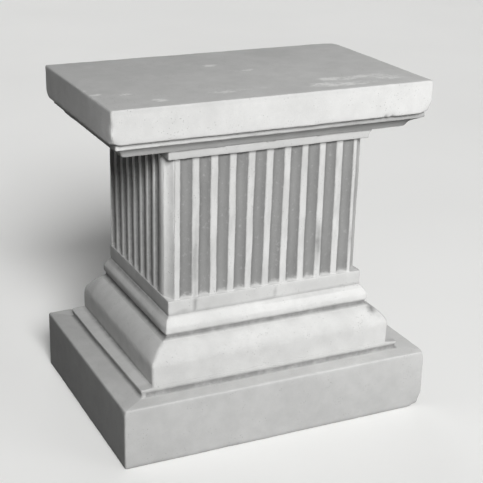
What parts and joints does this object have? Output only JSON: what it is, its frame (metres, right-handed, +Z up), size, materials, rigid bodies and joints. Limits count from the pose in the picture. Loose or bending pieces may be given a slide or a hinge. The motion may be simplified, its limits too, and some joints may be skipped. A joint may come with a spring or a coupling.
{
  "type": "fluted concrete pedestal column",
  "caption": "Short rectangular fluted column cast in concrete, with a moulded top slab and a stepped base, standing by its own weight.",
  "frame": {"origin": "centre of the underside of the plinth, on the ground", "axes": "+Z up, X along the long faces, the front long face towards -Y"},
  "size_m": [0.482, 0.353, 0.5],
  "materials": {
    "concrete": "matt, weathered cast concrete with grime in the flutes and under the mouldings"
  },
  "bodies": {
    "root": {"column": "concrete"}
  },
  "joints": []
}
